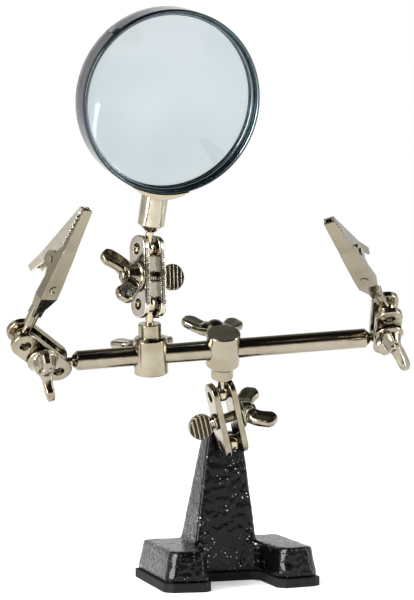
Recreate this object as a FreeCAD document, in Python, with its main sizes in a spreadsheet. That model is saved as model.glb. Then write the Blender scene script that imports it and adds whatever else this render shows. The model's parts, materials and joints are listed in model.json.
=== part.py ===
"""Helping hands clamp: a cast base, a cross rod on a double-ball link, two alligator clips and a magnifier.

Millimetres. X runs across the base, -Y is the front that the two toes point to, +Z is up.
The origin is on the underside of the rubber mat, below the middle of the column's foot.
"""
import FreeCAD, Part
import math
import os

import Sketcher
from FreeCAD import Placement, Rotation, Vector

# Driving dimensions, in millimetres and degrees. Headings turn from +X towards +Y, rises from level to +Z.
DIMENSIONS = {
    # rubber mat and base casting, seen from above: half widths across X, places along Y
    "mat_thickness": 3.0,
    "casting_height": 10.6,
    "casting_draft": 2.4,
    "mat_lip": 0.5,
    "base_half_width": 28.0,
    "base_back": 10.6,
    "toe_front": -32.4,
    "toe_skew": 1.4,
    "toe_chamfer": 2.6,
    "notch_half_width": 11.8,
    "notch_back": -10.5,
    "notch_corner": 2.4,
    # column
    "column_foot_half_width": 11.3,
    "column_foot_back": 9.4,
    "column_top_height": 52.4,
    "column_top_half_width": 6.2,
    "column_top_front": -9.4,
    "column_top_back": -0.8,
    # ball studs
    "ball_radius": 2.85,
    "stud_neck_radius": 1.4,
    "stud_fit": 0.04,
    "base_ball_forward": -16.8,
    "base_ball_height": 49.3,
    "base_stud_rise": 10.0,
    "base_stud_length": 14.0,
    # double-ball link
    "link_spacing": 18.6,
    "link_gap": 4.2,
    "plate_thickness": 2.2,
    "plate_width": 9.3,
    "plate_edge_round": 0.5,
    "ball_hole_radius": 1.96,
    # clamp screw with a flat thumb head
    "screw_radius": 1.85,
    "screw_fit": 0.08,
    "screw_reach": 10.8,
    "collar_radius": 2.9,
    "collar_thickness": 0.9,
    "seat_gap": 0.05,
    "thumb_radius": 4.5,
    "thumb_thickness": 2.4,
    "thumb_neck_radius": 1.9,
    "groove_width": 0.7,
    "groove_depth": 0.35,
    "groove_pitch": 1.7,
    # wing nut
    "flange_radius": 5.3,
    "flange_thickness": 1.1,
    "nut_hub_foot_radius": 3.9,
    "nut_hub_top_radius": 2.8,
    "nut_height": 5.2,
    "wing_thickness": 2.3,
    "wing_tip_radius": 2.5,
    "wing_tip_out": 8.0,
    "wing_tip_up": 8.0,
    "wing_root_half_width": 2.1,
    "wing_root_out": 1.9,
    "wing_root_up": 2.7,
    # rod clamp blocks and their wing screws
    "block_radius": 5.8,
    "block_half_length": 6.4,
    "block_edge": 0.9,
    "boss_radius": 3.9,
    "boss_length": 4.6,
    "block_ball_reach": 17.6,
    "block_stud_end": 5.6,
    "rod_fit": 0.05,
    "set_screw_radius": 2.0,
    "set_screw_hub_start": 7.4,
    "set_screw_hub_radius": 3.9,
    "set_screw_hub_height": 9.6,
    "set_screw_wing_root": 5.6,
    # cross rod
    "rod_radius": 3.4,
    "rod_half_length": 50.0,
    "rod_cone_length": 1.7,
    "rod_cone_radius": 1.9,
    "rod_ball_reach": 57.2,
    "rod_stud_depth": 6.0,
    # magnifier, measured along its handle from the ball
    "lens_centre_reach": 50.4,
    "ferrule_radius": 4.5,
    "ferrule_start": 6.2,
    "ferrule_cone_length": 2.3,
    "ferrule_end": 19.8,
    "ferrule_stud_end": 14.0,
    "saddle_thickness": 1.8,
    "saddle_half_width": 5.6,
    "saddle_half_chord": 11.2,
    "band_radius": 30.4,
    "band_wall": 0.8,
    "band_half_width": 5.2,
    "glass_radius": 29.55,
    "glass_edge_half": 1.2,
    "glass_sphere_radius": 160.0,
    "ring_wire_radius": 0.6,
    # alligator clips, measured along the clip from the ball
    "clip_length": 51.5,
    "shoulder_along": 18.0,
    "bite_start": 36.5,
    "fixed_back_height": 3.3,
    "tip_back_height": 1.3,
    "jaw_half_width": 3.2,
    "tip_half_width": 1.65,
    "ear_radius": 2.9,
    "lever_along": 21.5,
    "lever_height": 10.2,
    "barrel_start": 5.4,
    "barrel_end": 12.6,
    "barrel_radius": 1.9,
    "clip_stud_end": 11.0,
    "sheet_thickness": 0.7,
    "pivot_along": 30.3,
    "pivot_offset": 1.9,
    "pin_radius": 0.75,
    "pin_fit": 0.07,
    "pin_half_length": 2.85,
    "pin_head_radius": 1.2,
    "pin_head_thickness": 0.35,
    "dimple_radius": 1.35,
    "dimple_along": 21.8,
    "tooth_pitch": 1.7,
    "tooth_depth": 0.85,
    "spring_wire_radius": 0.28,
    "spring_coil_radius": 1.2,
    # rest pose: how far each block sits along the rod, and where the pieces point
    "lens_block_along": -25.0,
    "base_link_heading": 0.0,
    "base_link_rise": 17.5,
    "base_link_lean": 14.0,
    "block_heading": -104.0,
    "block_rise": 61.0,
    "rod_heading": -4.0,
    "lens_block_lean": 13.0,
    "lens_link_heading": -161.0,
    "lens_link_rise": 0.5,
    "lens_link_lean": 3.5,
    "handle_heading": -76.3,
    "handle_rise": 73.3,
    "lens_heading": -84.9,
    "left_link_heading": -83.0,
    "left_link_rise": -44.0,
    "left_link_lean": 50.0,
    "left_clip_heading": -63.0,
    "left_clip_rise": 51.5,
    "left_clip_roll": 30.0,
    "right_link_heading": -90.0,
    "right_link_rise": -58.0,
    "right_link_lean": 17.0,
    "right_clip_heading": -138.0,
    "right_clip_rise": 32.5,
    "right_clip_roll": -45.0,
    "base_nut_turn": 109.0,
    "lens_nut_turn": 34.5,
    "left_nut_turn": 147.0,
    "right_nut_turn": -150.0,
    "base_thumb_turn": 0.0,
    "lens_thumb_turn": 0.0,
    "left_thumb_turn": 163.0,
    "right_thumb_turn": -177.0,
    "rod_block_wing_turn": 8.0,
    "lens_block_wing_turn": 0.0,
}

doc = FreeCAD.newDocument("HelpingHands")
sheet = doc.addObject("Spreadsheet::Sheet", "Dimensions")
for row, (alias, number) in enumerate(DIMENSIONS.items(), start=1):
    sheet.set(f"A{row}", alias.replace("_", " "))
    sheet.set(f"B{row}", str(number))
    sheet.setAlias(f"B{row}", alias)
doc.recompute()


class Size:
    """A value worked out from the sheet, together with the expression that binds it to the sheet."""

    def __init__(self, value, text):
        self.value = value
        self.text = text

    def joined(self, sign, other, value):
        return Size(value, f"({self.text} {sign} {other.text})")

    def __add__(self, other):
        other = size_of(other)
        return self.joined("+", other, self.value + other.value)

    def __sub__(self, other):
        other = size_of(other)
        return self.joined("-", other, self.value - other.value)

    def __mul__(self, other):
        other = size_of(other)
        return self.joined("*", other, self.value * other.value)

    def __truediv__(self, other):
        other = size_of(other)
        return self.joined("/", other, self.value / other.value)

    def __neg__(self):
        return Size(-self.value, f"(-1 * {self.text})")


def size_of(number):
    return number if isinstance(number, Size) else Size(float(number), str(float(number)))


def dim(alias):
    """A driving dimension, as a Size."""
    return Size(float(sheet.get(alias)), f"Dimensions.{alias}")


def angle(alias):
    """A driving angle, in degrees, as a plain number."""
    return float(sheet.get(alias))


def bind(thing, **sizes):
    """Bind an object's properties to sizes from the sheet."""
    for name, size in sizes.items():
        thing.setExpression(name, size_of(size).text)
    return thing


def bind_base(thing, x=0, y=0, z=0):
    """Bind where an object's own placement puts its origin."""
    for name, size in (("x", x), ("y", y), ("z", z)):
        thing.setExpression(f"Placement.Base.{name}", size_of(size).text)
    return thing


# ---------------------------------------------------------------- primitives and booleans

TURN_TO = {
    "x": Rotation(Vector(0, 1, 0), 90),
    "y": Rotation(Vector(1, 0, 0), -90),
    "z": Rotation(),
}


def cylinder(name, radius, height, x=0, y=0, z=0, along="z"):
    shape = doc.addObject("Part::Cylinder", name)
    shape.Placement = Placement(Vector(), TURN_TO[along])
    return bind_base(bind(shape, Radius=radius, Height=height), x, y, z)


def cylinder_at(name, radius, height, placement):
    shape = bind(doc.addObject("Part::Cylinder", name), Radius=radius, Height=height)
    shape.Placement = placement
    return shape


def cone(name, radius1, radius2, height, z=0):
    shape = doc.addObject("Part::Cone", name)
    return bind_base(bind(shape, Radius1=radius1, Radius2=radius2, Height=height), z=z)


def sphere(name, radius, x=0, y=0, z=0):
    return bind_base(bind(doc.addObject("Part::Sphere", name), Radius=radius), x, y, z)


def box(name, length, width, height, x=0, y=0, z=0):
    shape = doc.addObject("Part::Box", name)
    return bind_base(bind(shape, Length=length, Width=width, Height=height), x, y, z)


def fuse(name, *shapes):
    joined = doc.addObject("Part::MultiFuse", name)
    joined.Shapes = list(shapes)
    joined.Refine = True
    return joined


def common(name, *shapes):
    shared = doc.addObject("Part::MultiCommon", name)
    shared.Shapes = list(shapes)
    return shared


def cut(name, base, tool):
    result = doc.addObject("Part::Cut", name)
    result.Base = base
    result.Tool = tool
    return result


def rounded(name, base, radius, chosen):
    """Round the edges of base for which chosen(edge) is true."""
    doc.recompute()
    result = doc.addObject("Part::Fillet", name)
    result.Base = base
    reach = size_of(radius).value
    edges = enumerate(base.Shape.Edges, start=1)
    result.Edges = [(i, reach, reach) for i, edge in edges if chosen(edge)]
    return result


# ---------------------------------------------------------------- sketches and bodies

def polygon(body, name, role, corners, lift=0):
    """A closed outline on one of the body's origin planes, each corner held by two bound dimensions."""
    plane = [feature for feature in body.Origin.OriginFeatures if feature.Role == role][0]
    outline = body.newObject("Sketcher::SketchObject", name)
    outline.AttachmentSupport = [(plane, "")]
    outline.MapMode = "FlatFace"
    outline.setExpression("AttachmentOffset.Base.z", size_of(lift).text)
    corners = [(size_of(x), size_of(y)) for x, y in corners]
    points = [Vector(x.value, y.value, 0) for x, y in corners]
    for start, end in zip(points, points[1:] + points[:1]):
        outline.addGeometry(Part.LineSegment(start, end))
    for i, (x, y) in enumerate(corners):
        outline.addConstraint(Sketcher.Constraint("Coincident", i, 2, (i + 1) % len(corners), 1))
        for kind, axis, value in (("DistanceX", -2, x), ("DistanceY", -1, y)):
            if value.value == 0.0:
                outline.addConstraint(Sketcher.Constraint("PointOnObject", i, 1, axis))
            else:
                index = outline.addConstraint(Sketcher.Constraint(kind, -1, 1, i, 1, value.value))
                outline.setExpression(f"Constraints[{index}]", value.text)
    return outline


def revolved(name, corners):
    """A body turned about Z from an outline of (radius, z) corners."""
    body = doc.addObject("PartDesign::Body", name)
    turning = body.newObject("PartDesign::Revolution", name + "_turning")
    turning.Profile = polygon(body, name + "_section", "XZ_Plane", corners)
    turning.ReferenceAxis = (turning.Profile[0], ["V_Axis"])
    turning.Angle = 360
    body.Tip = turning
    return body


def padded(name, role, corners, length, lift=0, midplane=False):
    """A body made by thickening one outline."""
    body = doc.addObject("PartDesign::Body", name)
    pad = body.newObject("PartDesign::Pad", name + "_pad")
    pad.Profile = polygon(body, name + "_outline", role, corners, lift)
    pad.Midplane = midplane
    bind(pad, Length=length)
    body.Tip = pad
    return body


def lofted(body, name, role, lower, lower_lift, upper, upper_lift):
    """Add a straight-sided loft between two outlines of the same body."""
    loft = body.newObject("PartDesign::AdditiveLoft", name)
    loft.Profile = polygon(body, name + "_lower", role, lower, lower_lift)
    loft.Sections = [polygon(body, name + "_upper", role, upper, upper_lift)]
    loft.Ruled = True
    body.Tip = loft
    return loft


# ---------------------------------------------------------------- places and directions

def pointing(heading, rise):
    """The unit vector with a heading around Z and a rise above level, in degrees."""
    turn, climb = math.radians(heading), math.radians(rise)
    return Vector(math.cos(turn) * math.cos(climb), math.sin(turn) * math.cos(climb), math.sin(climb))


def square_to(axis, wish):
    """The unit vector nearest to wish that is square to axis."""
    result = wish - axis * wish.dot(axis)
    return result.normalize()


def turned(vector, axis, degrees):
    return Rotation(axis, degrees).multVec(vector)


def framed(origin, x_axis, z_axis):
    """The placement whose X runs along x_axis and whose Z runs along z_axis."""
    return Placement(origin, Rotation(x_axis, z_axis.cross(x_axis), z_axis, "ZXY"))


nodes = []


def finish(shape, label, placement):
    """Name a finished sub-part and put it in its place."""
    shape.Label = label
    shape.Placement = placement
    nodes.append(shape)
    return shape


# ---------------------------------------------------------------- base

def base_outline(inset, front_inset):
    """The U-shaped outline of the base, from its middle round one toe and back round the other."""
    half = dim("base_half_width") - inset
    back = dim("base_back") - inset
    front = dim("toe_front") + front_inset
    skewed = front + dim("toe_skew")
    chamfer = dim("toe_chamfer")
    notch = dim("notch_half_width")
    corner = dim("notch_corner")
    toe = [
        (half - chamfer / 2, back), (half, back - chamfer / 2),
        (half, skewed + chamfer), (half - chamfer, skewed),
        (notch + chamfer + front_inset, front), (notch + front_inset, front + chamfer),
        (notch, dim("notch_back") - corner), (notch - corner, dim("notch_back")),
    ]
    return toe + [(-size_of(x), y) for x, y in reversed(toe)]


def base_stud_axis():
    """The way the base's ball stud points: forwards and a little up."""
    return pointing(-90, angle("base_stud_rise"))


def base_ball():
    return Vector(0, dim("base_ball_forward").value, dim("base_ball_height").value)


def make_base():
    floor = dim("mat_thickness")
    toe_top = floor + dim("casting_height")
    draft = dim("casting_draft")
    mat = padded("mat", "XY_Plane", base_outline(size_of(0), size_of(0)), floor)
    finish(mat, "rubber_mat", Placement())

    casting = doc.addObject("PartDesign::Body", "casting")
    lip = dim("mat_lip")
    lofted(casting, "foot", "XY_Plane", base_outline(lip, lip), floor,
           base_outline(draft, draft / 2), toe_top)
    foot, top = dim("column_foot_half_width"), dim("column_top_half_width")
    front, back = dim("notch_back"), dim("column_foot_back")
    top_front, top_back = dim("column_top_front"), dim("column_top_back")
    lofted(casting, "column", "XY_Plane",
           [(-foot, front), (foot, front), (foot, back), (-foot, back)], toe_top,
           [(-top, top_front), (top, top_front), (top, top_back), (-top, top_back)],
           dim("column_top_height"))
    axis, depth = base_stud_axis(), dim("base_stud_length") + 0.2
    start = base_ball() - axis * depth.value
    socket = cylinder_at("socket", dim("stud_neck_radius") + dim("stud_fit"), depth,
                         framed(start, Vector(1, 0, 0), axis))
    finish(cut("casting_with_socket", casting, socket), "base_casting", Placement())


# ---------------------------------------------------------------- ball studs

def make_stud(label, ball, axis, length):
    """A ball on a plain neck: the ball at its own origin, the neck running back along -Z."""
    neck = cylinder(label + "_neck", dim("stud_neck_radius"), length, z=-length)
    stud = fuse(label + "_solid", sphere(label + "_ball", dim("ball_radius")), neck)
    side = square_to(axis, Vector(1, 0, 0) if abs(axis.x) < 0.9 else Vector(0, 0, 1))
    finish(stud, label, framed(ball, side, axis))


# ---------------------------------------------------------------- double-ball links

class Link:
    """Where a double-ball link stands: its first ball, its plates' normal and its long axis."""

    def __init__(self, name, first_ball):
        self.name = name
        self.start = first_ball
        self.normal = pointing(angle(name + "_link_heading"), angle(name + "_link_rise"))
        upright = square_to(self.normal, Vector(0, 0, 1))
        self.along = turned(upright, self.normal, angle(name + "_link_lean"))
        self.end = first_ball + self.along * dim("link_spacing").value
        self.middle = (self.start + self.end) * 0.5


def make_plate(label, link, inner_face):
    """A round-ended plate from its inner face outwards along X, with two ball seats and a screw hole."""
    radius = dim("plate_width") / 2
    thickness = dim("plate_thickness")
    spacing = dim("link_spacing")
    bar = box(label + "_bar", thickness, dim("plate_width"), spacing, x=inner_face, y=-radius)
    ends = [cylinder(f"{label}_end{i}", radius, thickness, x=inner_face, z=z, along="x")
            for i, z in enumerate((size_of(0), spacing))]
    blank = fuse(label + "_blank", bar, *ends)
    faces = (inner_face.value, inner_face.value + thickness.value)

    def on_a_face(edge):
        limits = edge.BoundBox
        return any(limits.XMin > x - 0.01 and limits.XMax < x + 0.01 for x in faces)

    eased = rounded(label + "_eased", blank, dim("plate_edge_round"), on_a_face)
    holes = [cylinder(f"{label}_seat{i}", dim("ball_hole_radius"), thickness + 2, x=inner_face - 1, z=z,
                      along="x")
             for i, z in enumerate((size_of(0), spacing))]
    holes.append(cylinder(label + "_screw_hole", dim("screw_radius") + dim("screw_fit"), thickness + 2,
                          x=inner_face - 1, z=spacing / 2, along="x"))
    plate = cut(label + "_solid", eased, fuse(label + "_holes", *holes))
    finish(plate, label, framed(link.start, link.normal, link.along))


def make_clamp_screw(link):
    """The screw that pulls the plates together: its axis is Z, with the middle of the link at its origin."""
    label = link.name + "_clamp_screw"
    face = dim("link_gap") / 2 + dim("plate_thickness")
    seat = face + dim("seat_gap")
    centre = seat + dim("collar_thickness") + dim("thumb_radius")
    collar = cylinder(label + "_collar", dim("collar_radius"), dim("collar_thickness"),
                      z=-seat - dim("collar_thickness"))
    neck = cylinder(label + "_neck", dim("thumb_neck_radius"), dim("collar_thickness") + 1.2,
                    z=-seat - dim("collar_thickness") - 1.3)
    under_head = seat + dim("collar_thickness") / 2
    shank = cylinder(label + "_shank", dim("screw_radius"), under_head + dim("screw_reach"), z=-under_head)
    head = cylinder(label + "_head", dim("thumb_radius"), dim("thumb_thickness"),
                    y=-dim("thumb_thickness") / 2, z=-centre, along="y")
    blank = fuse(label + "_blank", collar, neck, shank, head)
    grooves = []
    reach = dim("thumb_radius") + 1
    for side, low in (("near", -dim("thumb_thickness") / 2 - 1),
                      ("far", dim("thumb_thickness") / 2 - dim("groove_depth"))):
        for step in range(5):
            height = -centre + dim("groove_pitch") * (step - 2) - dim("groove_width") / 2
            grooves.append(box(f"{label}_{side}{step}", reach * 2, dim("groove_depth") + 1,
                               dim("groove_width"), x=-reach, y=low, z=height))
    screw = cut(label + "_solid", blank, fuse(label + "_grooves", *grooves))
    side = turned(link.along, link.normal, angle(link.name + "_thumb_turn"))
    finish(screw, label, framed(link.middle, side, link.normal))


def make_wings(label, root_up):
    """Two flat wings in the XZ plane, rising from the hub to round tips."""
    root_out, tip_out = dim("wing_root_out"), dim("wing_tip_out")
    climb = dim("wing_tip_up") - dim("wing_root_up")
    run = math.hypot(tip_out.value - root_out.value, climb.value)
    out, up = (tip_out.value - root_out.value) / run, climb.value / run
    root, tip = dim("wing_root_half_width"), dim("wing_tip_radius")
    thickness, tip_up = dim("wing_thickness"), root_up + climb
    pieces = []
    for side, sign in (("right", 1), ("left", -1)):
        corners = [
            ((root_out + root * up) * sign, root_up - root * out),
            ((tip_out + tip * up) * sign, tip_up - tip * out),
            ((tip_out - tip * up) * sign, tip_up + tip * out),
            ((root_out - root * up) * sign, root_up + root * out),
        ]
        pieces.append(padded(f"{label}_{side}_arm", "XZ_Plane", corners, thickness, midplane=True))
        pieces.append(cylinder(f"{label}_{side}_tip", tip, thickness, x=tip_out * sign, y=-thickness / 2,
                               z=tip_up, along="y"))
    return pieces


def make_wing_nut(link):
    """A flanged wing nut: it turns about Z, and its flange stands on z = 0."""
    label = link.name + "_wing_nut"
    flange = cylinder(label + "_flange", dim("flange_radius"), dim("flange_thickness"))
    hub = cone(label + "_hub", dim("nut_hub_foot_radius"), dim("nut_hub_top_radius"),
               dim("nut_height") - dim("flange_thickness"), z=dim("flange_thickness"))
    blank = fuse(label + "_blank", flange, hub, *make_wings(label, dim("wing_root_up")))
    bore = cylinder(label + "_bore", dim("screw_radius") + dim("screw_fit"), dim("nut_height") * 3,
                    z=-dim("nut_height"))
    nut = cut(label + "_solid", blank, bore)
    seat = dim("link_gap").value / 2 + dim("plate_thickness").value + dim("seat_gap").value
    side = turned(link.along, link.normal, angle(link.name + "_nut_turn"))
    finish(nut, label, framed(link.middle + link.normal * seat, side, link.normal))


def make_link(link, sides):
    half = dim("link_gap") / 2
    make_plate(f"{link.name}_link_plate_{sides[0]}", link, -half - dim("plate_thickness"))
    make_plate(f"{link.name}_link_plate_{sides[1]}", link, half)
    make_clamp_screw(link)
    make_wing_nut(link)


# ---------------------------------------------------------------- rod clamp blocks

def make_block(prefix, centre, axis, rod):
    """A turned block on the rod: boss back along -Z, rod bore along X, wing screw on the +Y side."""
    radius, half, edge = dim("block_radius"), dim("block_half_length"), dim("block_edge")
    boss, boss_end = dim("boss_radius"), -half - dim("boss_length")
    turned_blank = revolved(prefix + "_blank", [
        (0, boss_end), (boss - edge / 3, boss_end), (boss, boss_end + edge / 3), (boss, -half),
        (radius - edge, -half), (radius, -half + edge), (radius, half - edge / 3),
        (radius - edge / 3, half), (0, half),
    ])
    rod_bore = cylinder(prefix + "_rod_bore", dim("rod_radius") + dim("rod_fit"), radius * 4,
                        x=radius * -2, along="x")
    stud_bore = cylinder(prefix + "_stud_bore", dim("stud_neck_radius") + dim("stud_fit"),
                         dim("boss_length") + half, z=boss_end - 1)
    screw_bore = cylinder(prefix + "_screw_bore", dim("set_screw_radius") + dim("stud_fit"), radius * 2,
                          along="y")
    block = cut(prefix + "_solid", turned_blank, fuse(prefix + "_bores", rod_bore, stud_bore, screw_bore))
    finish(block, prefix, framed(centre, rod, axis))
    ball = centre - axis * dim("block_ball_reach").value
    make_stud(prefix + "_ball_stud", ball, axis * -1, dim("block_ball_reach") - dim("block_stud_end"))
    outward = axis.cross(rod)
    wings = turned(rod, outward, angle(prefix + "_wing_turn"))
    make_wing_screw(prefix + "_wing_screw", centre, outward, wings)


def make_wing_screw(label, centre, outward, wings):
    """The screw that locks a block on the rod: it turns about Z, with the rod's axis at its origin."""
    start, foot = dim("rod_radius") + dim("seat_gap"), dim("set_screw_hub_start")
    hub_height, hub_radius = dim("set_screw_hub_height"), dim("set_screw_hub_radius")
    shank = cylinder(label + "_shank", dim("set_screw_radius"), foot - start + 1, z=start)
    hub = revolved(label + "_hub", [
        (0, foot), (dim("set_screw_radius") + 0.5, foot), (hub_radius * 0.82, foot + hub_height * 0.45),
        (hub_radius, foot + hub_height * 0.62), (hub_radius * 0.93, foot + hub_height * 0.8),
        (hub_radius * 0.6, foot + hub_height * 0.95), (0, foot + hub_height),
    ])
    screw = fuse(label + "_solid", shank, hub, *make_wings(label, foot + dim("set_screw_wing_root")))
    finish(screw, label, framed(centre, wings, outward))


# ---------------------------------------------------------------- cross rod

def make_rod(centre, rod):
    """The cross rod along Z, coned at both ends, with a ball stud set in each end."""
    radius, half = dim("rod_radius"), dim("rod_half_length")
    tip, end = dim("rod_cone_radius"), half + dim("rod_cone_length")
    bar = revolved("rod_bar", [
        (0, -end), (tip, -end), (radius, -half), (radius, half), (tip, end), (0, end),
    ])
    depth = dim("rod_stud_depth")
    bore_radius = dim("stud_neck_radius") + dim("stud_fit")
    bores = [cylinder("rod_bore_low", bore_radius, depth + 1, z=-end - 1),
             cylinder("rod_bore_high", bore_radius, depth + 1, z=end - depth)]
    side = square_to(rod, Vector(0, 0, 1))
    finish(cut("rod_solid", bar, fuse("rod_bores", *bores)), "cross_rod", framed(centre, side, rod))
    reach = dim("rod_ball_reach")
    length = reach - end + depth - 0.2
    make_stud("left_rod_ball_stud", centre - rod * reach.value, rod * -1, length)
    make_stud("right_rod_ball_stud", centre + rod * reach.value, rod, length)


# ---------------------------------------------------------------- magnifier

def make_magnifier(ball, handle, facing):
    """The magnifier, its handle along Z from the ball and the lens facing along X."""
    centre = dim("lens_centre_reach")
    place = framed(ball, facing, handle)
    make_stud("magnifier_ball_stud", ball, handle * -1, dim("ferrule_stud_end"))

    start, radius = dim("ferrule_start"), dim("ferrule_radius")
    shoulder = start + dim("ferrule_cone_length")
    ferrule = revolved("ferrule_blank", [
        (0, start), (dim("rod_cone_radius"), start), (radius, shoulder), (radius, dim("ferrule_end")),
        (0, dim("ferrule_end")),
    ])
    bore = cylinder("ferrule_bore", dim("stud_neck_radius") + dim("stud_fit"),
                    dim("ferrule_stud_end") - start + 1.2, z=start - 1)
    half_chord, band, rise = dim("saddle_half_chord"), dim("band_radius"), dim("saddle_thickness")
    back = half_chord * half_chord / (rise * 2 + half_chord * half_chord / band)
    back_centre = centre - band - rise + back
    seat = cylinder("ferrule_seat", back + 0.02, 20, x=-10, z=back_centre, along="x")
    finish(cut("ferrule_solid", ferrule, fuse("ferrule_tools", bore, seat)), "magnifier_ferrule", place)

    half_width = dim("saddle_half_width")
    outer = cylinder("saddle_outer", back, half_width * 2, x=-half_width, z=back_centre, along="x")
    inner = cylinder("saddle_inner", band + 0.05, half_width * 2 + 2, x=-half_width - 1, z=centre,
                     along="x")
    finish(cut("saddle_solid", outer, inner), "magnifier_saddle", place)

    wide = dim("band_half_width")
    tube = cylinder("band_outer", band, wide * 2, x=-wide, z=centre, along="x")
    inside = cylinder("band_inner", band - dim("band_wall"), wide * 2 + 2, x=-wide - 1, z=centre,
                      along="x")
    finish(cut("band_solid", tube, inside), "magnifier_band", place)

    edge, ball_size = dim("glass_edge_half"), dim("glass_sphere_radius")
    rim = dim("glass_radius")
    sag = ball_size.value - math.sqrt(ball_size.value ** 2 - rim.value ** 2)
    blank = cylinder("glass_rim", rim, (edge + sag) * 2, x=-edge - sag, z=centre, along="x")
    faces = [sphere("glass_face_front", ball_size, x=edge + sag - ball_size, z=centre),
             sphere("glass_face_back", ball_size, x=-edge - sag + ball_size, z=centre)]
    finish(common("glass_solid", blank, *faces), "magnifier_lens", place)

    wire, inner_radius = dim("ring_wire_radius"), band - dim("band_wall")
    for name, side in (("front", 1), ("back", -1)):
        across = (edge + wire + 0.15) * side
        ring = doc.addObject("Part::Torus", f"ring_{name}_wire")
        bind(ring, Radius1=inner_radius - wire - 0.05, Radius2=wire)
        ring.Placement = Placement(Vector(), TURN_TO["x"])
        bind_base(ring, x=across, z=centre)
        nib = cylinder(f"ring_{name}_nib", wire * 0.9, wire * 1.2, x=across,
                       z=centre + inner_radius - wire * 2.2)
        finish(fuse(f"ring_{name}_solid", ring, nib), f"magnifier_ring_{name}", place)


# ---------------------------------------------------------------- alligator clips

def plan_outline(stations):
    """A symmetric outline from (z, half width) stations."""
    right = [(size_of(half), size_of(z)) for z, half in stations]
    return right + [(-x, z) for x, z in reversed(right)]


def teeth(name, z_start, z_end, side):
    """Notches along the bite line, cut across the clip."""
    pitch, depth = dim("tooth_pitch"), dim("tooth_depth")
    count = int((z_end.value - z_start.value) / pitch.value)
    pieces = []
    for step in range(count):
        low = z_start + pitch * step
        corners = [(-size_of(0.05) * side, low), (-size_of(0.05) * side, low + pitch * 0.86),
                   (depth * side, low + pitch * 0.43)]
        pieces.append(padded(f"{name}_tooth{step}", "YZ_Plane", corners, size_of(8), midplane=True))
    return pieces


def eared(name, outline, ear_radius):
    """A side outline thickened across the clip, with a round ear about the pivot."""
    wide = size_of(10)
    plate = padded(name + "_plate", "YZ_Plane", outline, wide, midplane=True)
    ear = cylinder(name + "_ear", ear_radius, wide, x=-wide / 2, y=-dim("pivot_offset"),
                   z=dim("pivot_along"), along="x")
    return fuse(name + "_side", plate, ear)


def folded(name, side, plan, inner_outline):
    """A folded sheet channel: what lies within both a side view and a plan, less its hollow."""
    wall = dim("sheet_thickness")
    tall = size_of(40)
    top = padded(name + "_plan", "XZ_Plane", plan_outline(plan), tall, midplane=True)
    inside = [(z, half - wall) for z, half in plan]
    inner_top = padded(name + "_inner_plan", "XZ_Plane", plan_outline(inside), tall, midplane=True)
    inner_side = padded(name + "_inner_side", "YZ_Plane", inner_outline, size_of(10), midplane=True)
    blank = common(name + "_blank", side, top)
    return cut(name + "_channel", blank, common(name + "_hollow", inner_side, inner_top))


def make_clip(prefix, ball, axis, bite):
    """An alligator clip along Z from its ball, its pivot along X and its fixed jaw on the +Y side."""
    place = framed(ball, bite, axis)
    make_stud(prefix + "_clip_ball_stud", ball, axis * -1, dim("clip_stud_end"))
    finish(make_fixed_jaw(prefix), prefix + "_clip_fixed_jaw", place)
    finish(make_moving_jaw(prefix), prefix + "_clip_moving_jaw", place)
    finish(make_pivot_pin(prefix), prefix + "_clip_pivot_pin", place)
    make_spring(prefix, place)


def pin_bore(name, radius):
    """A cutter for the pivot pin's hole, right across the clip."""
    return cylinder(name, radius, 12, x=-6, y=-dim("pivot_offset"), z=dim("pivot_along"), along="x")


def make_fixed_jaw(prefix):
    """The jaw with the barrel: a channel with a dimple in its back and an ear on each side for the pin."""
    name = prefix + "_fixed"
    tip, wall, heel = dim("clip_length"), dim("sheet_thickness"), dim("barrel_end")
    back = [(heel - 3, dim("barrel_radius") - 0.1), (heel, dim("barrel_radius") + 0.1),
            (dim("shoulder_along"), dim("fixed_back_height")), (tip, dim("tip_back_height"))]
    edge = [(tip, 0.1), (dim("bite_start"), 0.1), (size_of(33.4), -1.2), (size_of(27.2), -1.2),
            (size_of(25.0), -0.2), (size_of(18.0), -0.4), (heel, -1.2), (heel - 3, -1.6)]
    outline = [(size_of(y), size_of(z)) for z, y in back + edge]
    inner = [(back[1][1] - wall, heel + 0.6), (back[2][1] - wall, dim("shoulder_along") + 0.2),
             (back[3][1] - wall - 0.1, tip + 1), (size_of(-6), tip + 1), (size_of(-6), heel + 0.6)]
    plan = [(heel - 3, dim("barrel_radius") - 0.25), (heel, dim("barrel_radius") - 0.15),
            (dim("shoulder_along"), dim("jaw_half_width")), (size_of(23.0), dim("jaw_half_width") - 0.05),
            (size_of(35.5), size_of(2.55)), (dim("bite_start") + 1, size_of(2.3)),
            (tip, dim("tip_half_width"))]
    channel = folded(name, eared(name, outline, dim("ear_radius")), plan, inner)
    barrel_start = dim("barrel_start")
    barrel = cylinder(name + "_barrel", dim("barrel_radius"), heel - barrel_start, z=barrel_start)
    stud_bore = cylinder(name + "_stud_bore", dim("stud_neck_radius") + dim("stud_fit"),
                         dim("clip_stud_end") - barrel_start + 1.2, z=barrel_start - 1)
    slope = (dim("fixed_back_height") - dim("tip_back_height")) / (tip - dim("shoulder_along"))
    surface = dim("fixed_back_height") - slope * (dim("dimple_along") - dim("shoulder_along"))
    dimple = sphere(name + "_dimple", dim("dimple_radius") * 1.25, y=surface + dim("dimple_radius") * 0.75,
                    z=dim("dimple_along"))
    tools = [stud_bore, dimple, pin_bore(name + "_pin_hole", dim("pin_radius") + 0.02)]
    tools += teeth(name, dim("bite_start"), tip, 1)
    return cut(name + "_solid", fuse(name + "_body", channel, barrel), fuse(name + "_tools", *tools))


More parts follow.
